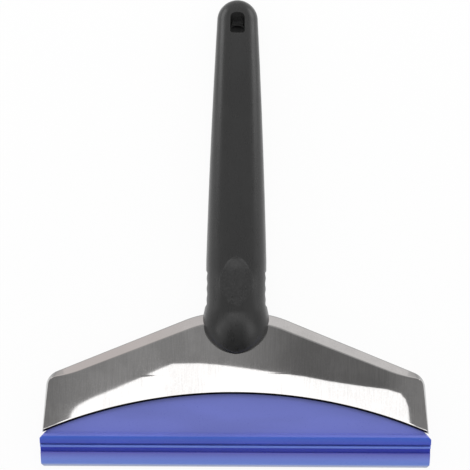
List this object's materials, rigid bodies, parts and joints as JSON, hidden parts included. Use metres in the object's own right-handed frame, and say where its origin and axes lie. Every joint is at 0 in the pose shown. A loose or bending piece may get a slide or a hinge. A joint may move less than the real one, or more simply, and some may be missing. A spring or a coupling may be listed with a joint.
{
  "type": "ice scraper",
  "caption": "Hand ice scraper with a wide grooved plastic blade in an arched steel head and a tapered black handle with a thumb scoop and a hanging slot.",
  "frame": {"origin": "centre of the bounding box's bottom face, with the scraper lying on its back as on a table", "axes": "+Y along the handle towards its tip, +Z out of the front face, +X to the right seen from the front with the handle up"},
  "size_m": [0.1596, 0.1906, 0.0195],
  "materials": {
    "blade_blue": "smooth moulded blue plastic, half gloss",
    "brushed_steel": "thin sheet, fine brushing along the handle's direction, polished edge",
    "bar_steel": "plain flat bar",
    "zinc": "bright zinc plating",
    "core_black": "plain moulding, out of sight",
    "handle_black": "fine satin moulding, rougher floor in the thumb scoop"
  },
  "bodies": {
    "handle_and_head": {"handle_front": "handle_black", "handle_rear": "handle_black", "handle_screw_lower": "zinc", "handle_screw_middle": "zinc", "handle_screw_upper": "zinc", "head_shell_front": "brushed_steel", "head_shell_rear": "brushed_steel", "head_core": "core_black", "tang": "bar_steel", "tang_rivet_lower": "zinc", "tang_rivet_upper": "zinc"},
    "blade_insert": {"blade": "blade_blue"}
  },
  "joints": [
    {"name": "blade_slide", "type": "slide", "parent": "handle_and_head", "child": "blade_insert", "axis": [0, -1, 0], "range_m": [0, 0.025]}
  ]
}
